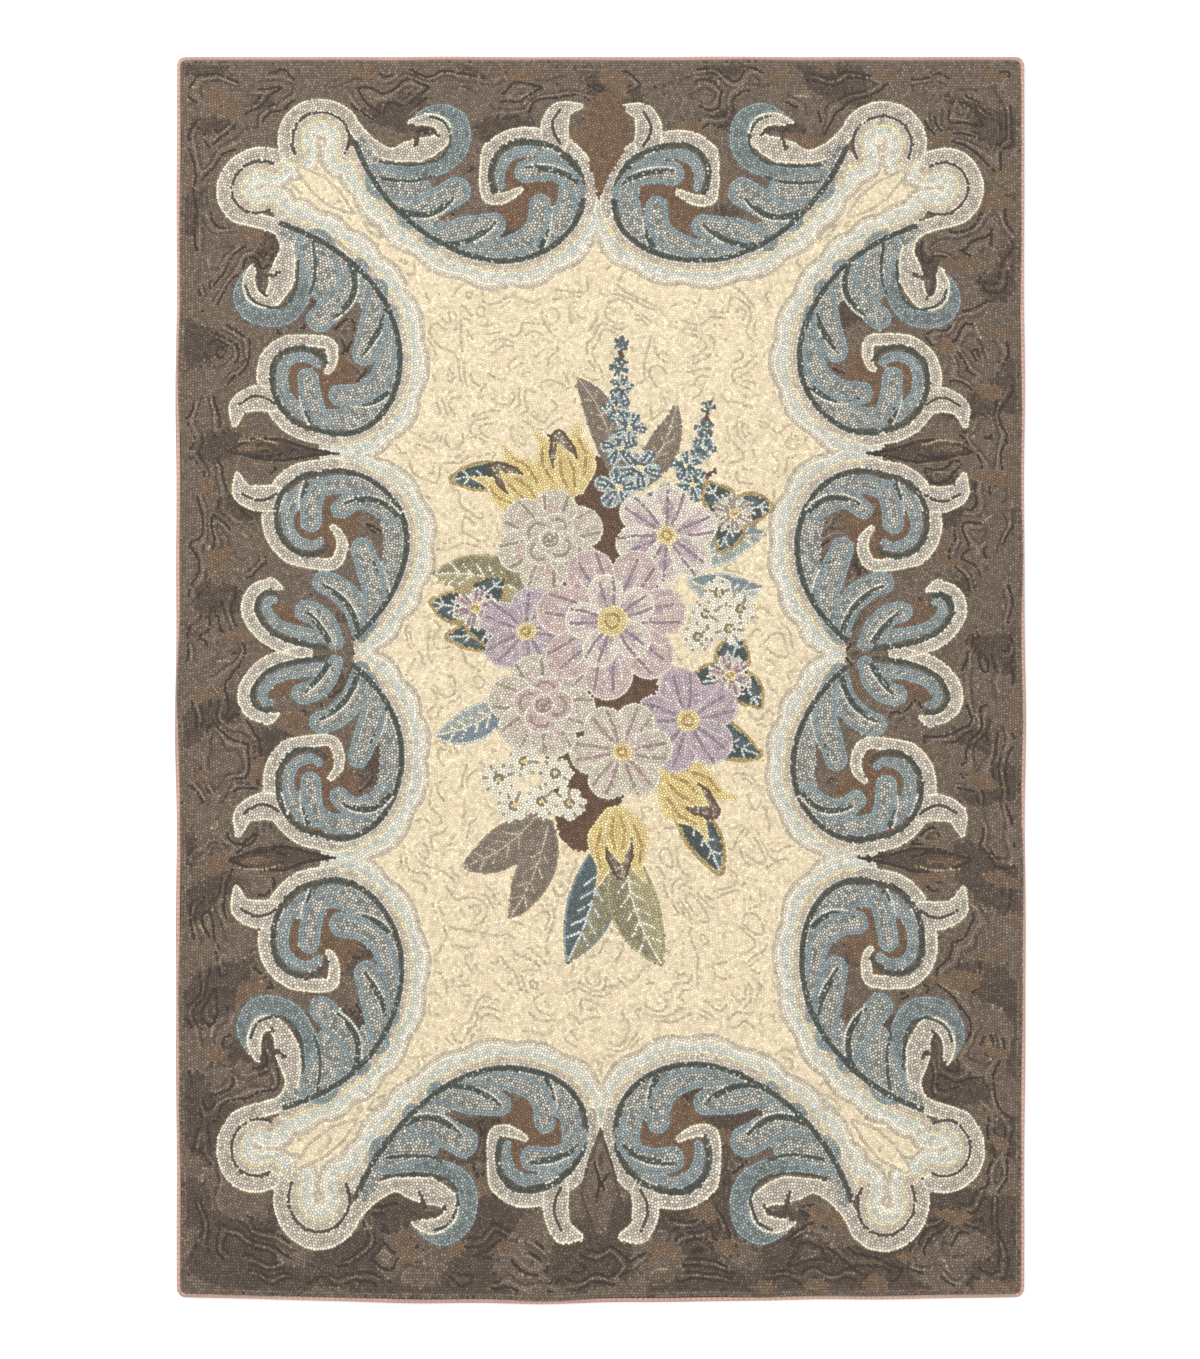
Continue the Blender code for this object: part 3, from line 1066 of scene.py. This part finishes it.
def as_hooked(points):
    """The drawn design as the maker hooked it: a little off true, its middle a little high."""
    x, y = points[:, 0].copy(), points[:, 1].copy()
    calm = ease(edge_distance(x, y) / 90.0)
    x_off = 2.6 * np.sin(y / 97.0 + 0.6) + 2.2 * np.sin(x / 71.0 + y / 131.0 + 1.9)
    x_off += 1.4 * np.sin(y / 39.0 - x / 57.0)
    y_off = 2.4 * np.sin(x / 83.0 + 1.1) + 2.4 * np.sin(y / 89.0 - x / 117.0 + 0.4)
    y_off += 1.4 * np.sin(x / 37.0 + y / 61.0)
    x2 = x + calm * x_off
    y2 = y + calm * (y_off + WHOLE_LIFT)
    y2 += MIDDLE_LIFT * np.where(np.abs(y) < 500, np.cos(np.pi * y / 1000) ** 2, 0)
    y2 += LOWER_LIFT * ease((100.0 - y) / 400.0) * ease((y + HALF_Y) / 200.0)
    x3, y3 = pushed_out(x2, y2, HALF_X, HALF_Y, pile_wobble)
    return np.column_stack([x3, y3]) - OFF_CENTRE


# A ring of points just outside the pile, which the outermost loops fall away to.
MARGIN = 6
wider = np.pad(rim, MARGIN, mode="reflect", reflect_type="odd")
ghost_lines = level_lines(wider, -2.2, GRID_X[0] - MARGIN * CELL, GRID_Y[0] - MARGIN * CELL)
ghosts = even(max(ghost_lines, key=len), PITCH)
every = np.vstack([loops, ghosts])
real = len(loops)
flat = as_hooked(every)
out = delaunay_2d_cdt([tuple(p) for p in flat.tolist()], [], [], 0, 1e-7)
source_of = np.array([o[0] for o in out[3]])
tri = source_of[np.array(out[2])]

corners = flat[tri]
u, v = (corners[:, 1:] - corners[:, :1]).transpose(1, 2, 0)
area = u[0] * v[1] - v[0] * u[1]
tri[area < 0] = tri[area < 0][:, ::-1]
# Heights over the floor: the loops' tips, the hollows between them, and those at the rim.
TIP, TIP_UNEVEN, HOLLOW, HOLLOW_UNEVEN, RIM_HOLLOW = 7.85, 0.22, 6.75, 0.15, 4.9
on_rim = (tri >= real).sum(1)
tri_middle = flat[tri].mean(1)
loop_height = TIP + rng.normal(0, TIP_UNEVEN, len(every))
valley = np.where(on_rim > 0, RIM_HOLLOW - 0.25 * on_rim, HOLLOW + rng.normal(0, HOLLOW_UNEVEN, len(tri)))

# Every two neighbouring loops share an edge of the triangulation, with a hollow on each side of it.
ends = np.vstack([tri[:, [0, 1]], tri[:, [1, 2]], tri[:, [2, 0]]])
owner = np.tile(np.arange(len(tri)), 3)
low_first = ends[:, 0] < ends[:, 1]
key = np.sort(ends, axis=1)
order = np.lexsort((key[:, 1], key[:, 0]))
same = (key[order[:-1]] == key[order[1:]]).all(1)
one, two = order[:-1][same], order[1:][same]
swap = ~low_first[one]
left = np.where(swap, owner[two], owner[one])
right = np.where(swap, owner[one], owner[two])
lo, hi = key[one, 0], key[one, 1]
faces = np.vstack([np.column_stack([lo, right, left]), np.column_stack([hi, left, right])])
faces = faces[faces[:, 0] < real]

# Each loop is one of its yarn's tones, a little lighter or darker, with painted shade darker again between
# the loops.
family_of_yarn = np.array([FAMILIES.index(FAMILY_OF[name]) for name in TONES])
painted_shade_shares = [TWEED_PAINTED_SHADE.get(name, GAP_PAINTED_SHADE[FAMILY_OF[name]]) for name in TONES]
painted_shade_colours = np.array([tones.mean(axis=0) * share for tones, share in zip(TONES.values(), painted_shade_shares)])
shade = rng.normal(1.0, 0.05, real)
choice = rng.random(real)
tip_colour = np.empty((real, 3))
for k, tones in enumerate(TONES.values()):
    mine = yarn_of == k
    tip_colour[mine] = tones[(choice[mine] * len(tones)).astype(int)]
tip_colour = np.clip(tip_colour * shade[:, None], 0, 255) / 255
painted_shade_colour = np.clip(painted_shade_colours[yarn_of] * shade[:, None], 0, 255) / 255


class Look:
    """A material and its shader, with a short way to add nodes and join them."""

    def __init__(self, name, **settings):
        self.material = bpy.data.materials.new(name)
        self.material.use_nodes = True
        self.tree = self.material.node_tree
        self.shader = self.tree.nodes["Principled BSDF"]
        self.set(self.shader, settings)

    def set(self, node, settings):
        """Each setting is an input's name, with _ for a space, and its value or the socket it comes from."""
        for key, value in settings.items():
            socket = node.inputs[int(key[1:]) if key[1:].isdigit() else key.replace("_", " ")]
            if isinstance(value, bpy.types.NodeSocket):
                self.tree.links.new(value, socket)
            else:
                socket.default_value = value

    def add(self, kind, **settings):
        node = self.tree.nodes.new("ShaderNode" + kind)
        self.set(node, settings)
        return node

    def maths(self, operation, a, b):
        node = self.tree.nodes.new("ShaderNodeMath")
        node.operation = operation
        self.set(node, {"_0": a, "_1": b})
        return node.outputs["Value"]

    def shaded(self, colour, uneven, low, high, depth):
        """The base colour, made lighter and darker by depth as uneven goes from low to high."""
        spread = self.add(
            "MapRange", Value=uneven, From_Min=low, From_Max=high, To_Min=1.0 - depth, To_Max=1.0 + depth
        )
        mix = self.tree.nodes.new("ShaderNodeMix")
        mix.data_type = "RGBA"
        mix.blend_type = "MULTIPLY"
        self.set(mix, {"Factor": 1.0, "A": colour, "B": spread.outputs["Result"]})
        self.set(self.shader, {"Base_Color": mix.outputs["Result"]})


def wool(name):
    """Matte wool, coloured by its loops' own colours and the painted shade between them, with a little fibre
    in them.
    """
    look = Look(name, Roughness=0.95, Specular_IOR_Level=0.15, Sheen_Weight=0.12, Sheen_Roughness=0.6)
    colours = look.add("VertexColor")
    colours.layer_name = "yarn"
    place = look.add("TexCoord").outputs["Object"]
    fibre = look.add("TexNoise", Vector=place, Scale=1400.0, Detail=3.0)
    look.shaded(colours.outputs["Color"], fibre.outputs["Fac"], 0.3, 0.7, 0.12)
    return look.material


def piece_of(mesh, material):
    """A piece of the rug, or of the room, with its mesh's name."""
    mesh.materials.append(material)
    piece = bpy.data.objects.new(mesh.name, mesh)
    bpy.context.scene.collection.objects.link(piece)
    return piece


def flat_uv(mesh, co, loop_verts):
    """A plan-view UV map over the piece's own box."""
    low, high = co[:, :2].min(0), co[:, :2].max(0)
    uv = (co[loop_verts, :2] - low) / (high - low)
    mesh.uv_layers.new(name="OFBake").data.foreach_set("uv", (0.002 + 0.996 * uv).astype(np.float32).ravel())


def pile_piece(name, chosen, material):
    """One yarn family's loops: a dome for each loop, from its tip down to the hollows round it."""
    f = faces[chosen]
    peaks, peak_at = np.unique(f[:, 0], return_inverse=True)
    hollows, hollow_at = np.unique(f[:, 1:], return_inverse=True)
    hollow_at = hollow_at.reshape(-1, 2) + len(peaks)
    co = np.vstack([
        np.column_stack([flat[peaks], loop_height[peaks]]),
        np.column_stack([tri_middle[hollows], valley[hollows]]),
    ]) * MM
    verts = np.column_stack([peak_at, hollow_at]).astype(np.int32).ravel()
    mesh = bpy.data.meshes.new(name)
    mesh.vertices.add(len(co))
    mesh.vertices.foreach_set("co", co.astype(np.float32).ravel())
    mesh.loops.add(len(verts))
    mesh.loops.foreach_set("vertex_index", verts)
    mesh.polygons.add(len(f))
    mesh.polygons.foreach_set("loop_start", np.arange(0, len(verts), 3, dtype=np.int32))
    mesh.update(calc_edges=True)
    edge = np.empty(2 * len(mesh.edges), np.int32)
    mesh.edges.foreach_get("vertices", edge)
    sharp = (edge.reshape(-1, 2) >= len(peaks)).all(1)
    mesh.attributes.new("sharp_edge", "BOOLEAN", "EDGE").data.foreach_set("value", sharp)
    # The tip corner has the loop's colour; the two hollow corners get the painted shade between the loops.
    tip, down = tip_colour[f[:, 0]], painted_shade_colour[f[:, 0]]
    colour = np.ones((len(f), 3, 4))
    colour[:, 0, :3], colour[:, 1, :3], colour[:, 2, :3] = tip, down, down
    layer = mesh.color_attributes.new(name="yarn", type="BYTE_COLOR", domain="CORNER")
    layer.data.foreach_set("color_srgb", colour.astype(np.float32).ravel())
    flat_uv(mesh, co, verts)
    return piece_of(mesh, material)


family = family_of_yarn[yarn_of[faces[:, 0]]]
upper = flat[faces[:, 0], 1] > 0
pile = []
for part, name in zip(FAMILIES, ("pile_ground", "pile_field", "pile_pale_scrolls", "pile_blue_scrolls")):
    for half, chosen in (("upper", upper), ("lower", ~upper)):
        mine = (family == FAMILIES.index(part)) & chosen
        pile.append(pile_piece(f"{name}_{half}", mine, wool(f"wool_{part}_{half}")))
pile.append(pile_piece("pile_flowers", family == FAMILIES.index("bouquet"), wool("wool_flowers")))


def cloth(name, colour, threads_mm, depth=0.25):
    """Plain-woven cloth, its threads crossing at a real spacing."""
    look = Look(name, Roughness=0.9, Specular_IOR_Level=0.2)
    place = look.add("TexCoord").outputs["Object"]
    threads = []
    for direction in ("X", "Y"):
        weave = look.add("TexWave", Vector=place, Scale=0.05 / (threads_mm * MM), Distortion=0.6)
        weave.bands_direction = direction
        threads.append(weave.outputs["Fac"])
    patchy = look.add("TexNoise", Vector=place, Scale=35.0, Detail=4.0)
    uneven = look.maths("ADD", look.maths("MULTIPLY", *threads), patchy.outputs["Fac"])
    look.shaded((*colour, 1), uneven, 0.4, 1.3, depth)
    return look.material


def ring_piece(name, section, material, step, closed_section):
    """A solid whose wall follows the rug's outline; section lists (inset, height) in millimetres."""
    rings = [tape_outline(inset, step) - OFF_CENTRE for inset, _ in section]
    count = min(len(r) for r in rings)
    layers = []
    for ring, (_, height) in zip(rings, section):
        if len(ring) != count:
            ring = even(ring, 1, closed=True)
        run = np.vstack([ring, ring[:1]])
        at_run = np.concatenate([[0], np.cumsum(np.hypot(*np.diff(run, axis=0).T))])
        want = np.linspace(0, at_run[-1], count + 1)[:-1]
        x, y = (np.interp(want, at_run, run[:, axis]) for axis in (0, 1))
        layers.append(np.column_stack([x, y, np.full(count, height)]))
    points = np.vstack(layers) * MM
    last = len(section) - 1
    pairs = [(k, k + 1) for k in range(last)] + [(last, 0)] * closed_section
    here = np.arange(count)
    ahead = (here + 1) % count
    polygons = np.vstack([
        np.column_stack([a * count + here, a * count + ahead, b * count + ahead, b * count + here])
        for a, b in pairs
    ]).tolist()
    if not closed_section:
        polygons.append(here[::-1].tolist())
        polygons.append((last * count + here).tolist())
    mesh = bpy.data.meshes.new(name)
    mesh.from_pydata(points.tolist(), [], polygons)
    mesh.update()
    piece = piece_of(mesh, material)
    mesh.shade_smooth()
    mesh.set_sharp_from_angle(angle=math.radians(50))
    return piece


TAPE_INNER = TAPE_SHOWS + 32.0  # the tape's flat part ends here, under the back
TAPE_TOP, TAPE_THICK = 4.2, 1.2
BACK_STEP_UP, CLOTH_TOP = 1.6, 2.6
foundation = ring_piece(
    "foundation_cloth",
    [
        (TAPE_INNER + 0.4, 0.0), (TAPE_INNER + 0.4, BACK_STEP_UP), (TAPE_SHOWS + 0.6, BACK_STEP_UP),
        (TAPE_SHOWS + 0.6, CLOTH_TOP - 0.2), (TAPE_SHOWS + 1.0, CLOTH_TOP),
    ],
    cloth("burlap", (0.36, 0.25, 0.13), 1.6), 6.0, False,
)
tape = ring_piece(
    "tape",
    [
        (TAPE_INNER, 0.0), (1.0, 0.0), (0.3, 0.3), (0.0, 1.0), (0.0, 3.0), (0.3, 3.8), (1.0, TAPE_TOP),
        (3.8, TAPE_TOP), (4.6, 3.8), (4.6, TAPE_THICK), (TAPE_INNER, TAPE_THICK),
    ],
    cloth("pink_cotton_tape", (0.40, 0.26, 0.21), 0.9, depth=0.18), 3.0, True,
)

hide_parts("hooked_rug")
for piece in (*pile, foundation):
    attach(piece, "root")
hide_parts("binding_tape")
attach(tape, "root")

# ---- the room: a pale floor, soft light from above, and the camera straight overhead ----
scene = bpy.context.scene
scene.view_settings.view_transform = "Standard"
scene.view_settings.look = "None"

FLOOR_HALF, FLOOR_HEIGHT = 6, -0.0004
floor_mesh = bpy.data.meshes.new("floor")
floor_corners = [
    (sx * FLOOR_HALF, sy * FLOOR_HALF, FLOOR_HEIGHT) for sx, sy in ((-1, -1), (1, -1), (1, 1), (-1, 1))
]
floor_mesh.from_pydata(floor_corners, [], [(0, 1, 2, 3)])
white = Look("floor_white", Base_Color=(0.96, 0.96, 0.96, 1), Roughness=0.9)
floor = piece_of(floor_mesh, white.material)

world = bpy.data.worlds.new("world")
scene.world = world
world.use_nodes = True
sky = world.node_tree.nodes["Background"].inputs
sky["Color"].default_value = (1.0, 1.0, 1.0, 1)
sky["Strength"].default_value = 0.95


def area_light(name, position, size, power):
    """A round soft light, aimed at the middle of the rug."""
    light = bpy.data.lights.new(name, "AREA")
    light.shape = "DISK"
    light.size = size
    light.energy = power
    lamp = bpy.data.objects.new(name, light)
    lamp.location = position
    scene.collection.objects.link(lamp)
    lamp.rotation_euler = lamp.location.to_track_quat("Z", "Y").to_euler()


area_light("key", (-2.2, 2.6, 3.2), 2.0, 165)
area_light("fill", (2.4, -1.6, 3.4), 2.5, 55)

LENS, SENSOR, FRAME_WIDTH = 85.0, 36.0, 1.2766
LOOK_AT, FOCUS_HEIGHT = (-0.5, -2.7), 8.1
camera_data = bpy.data.cameras.new("camera")
camera_data.lens = LENS
camera_data.sensor_width = SENSOR
camera_data.sensor_fit = "HORIZONTAL"
camera = bpy.data.objects.new("camera", camera_data)
camera_height = FOCUS_HEIGHT * MM + FRAME_WIDTH * LENS / SENSOR
camera.location = (*(np.array(LOOK_AT) - OFF_CENTRE) * MM, camera_height)
scene.collection.objects.link(camera)
scene.camera = camera
